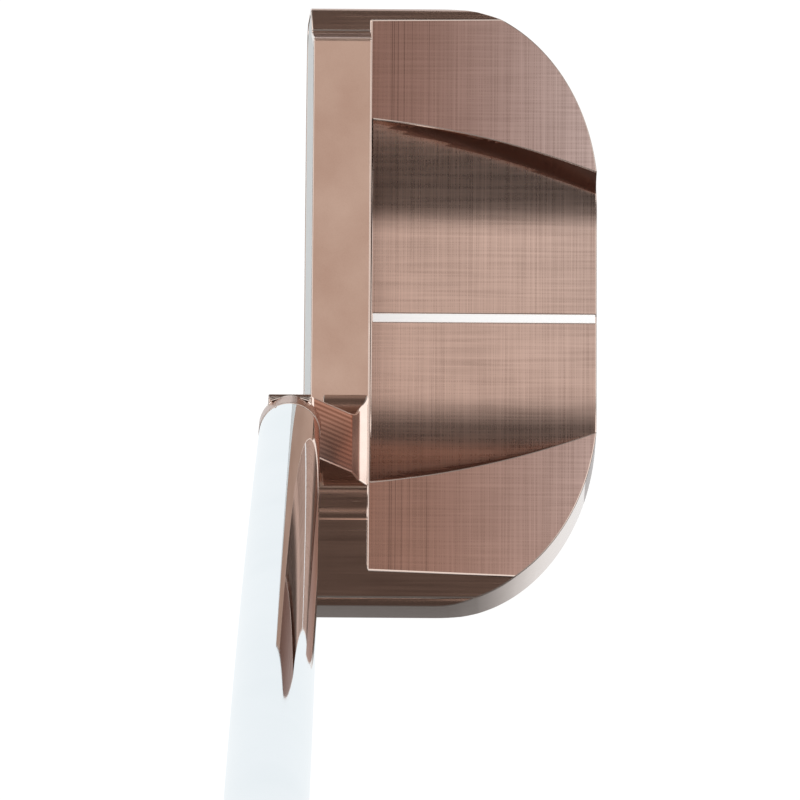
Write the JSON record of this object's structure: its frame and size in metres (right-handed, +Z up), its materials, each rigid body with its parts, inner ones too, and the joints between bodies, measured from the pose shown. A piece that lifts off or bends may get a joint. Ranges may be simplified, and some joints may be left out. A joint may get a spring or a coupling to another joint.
{
  "type": "mallet putter",
  "caption": "Right-handed mallet putter: milled D-shaped copper-finish head with a hollowed flange, plumber's neck, chromed shaft and rubber grip.",
  "frame": {"origin": "middle of the flat of the sole, under the alignment line", "axes": "+X from the toe to the heel, +Y from the face to the back of the head, +Z up from the ground; the shaft leans towards +X"},
  "size_m": [0.4405, 0.066, 0.7906],
  "materials": {
    "copper_finish": "satin copper coating over milled steel, with fine heel-to-toe milling lines",
    "milled_face": "fine milled, bare",
    "white_paint": "white paint filled into a groove",
    "sole_aluminium": "satin",
    "weight_steel": "turned",
    "washer_plastic": "matt black",
    "chrome": "mirror chrome plate",
    "adhesive": "cured epoxy",
    "grip_rubber": "matt moulded rubber with a fine pattern",
    "grip_tape": "matt double-sided tape"
  },
  "bodies": {
    "root": {"head_body": "copper_finish", "neck": "copper_finish", "face_insert": "milled_face", "face_insert_bond": "adhesive", "sight_line": "white_paint", "sole_plate": "sole_aluminium", "toe_weight": "weight_steel", "heel_weight": "weight_steel", "toe_weight_washer": "washer_plastic", "heel_weight_washer": "washer_plastic", "shaft": "chrome", "shaft_bond": "adhesive", "grip": "grip_rubber", "grip_tape": "grip_tape", "grip_cap": "grip_rubber"}
  },
  "joints": []
}
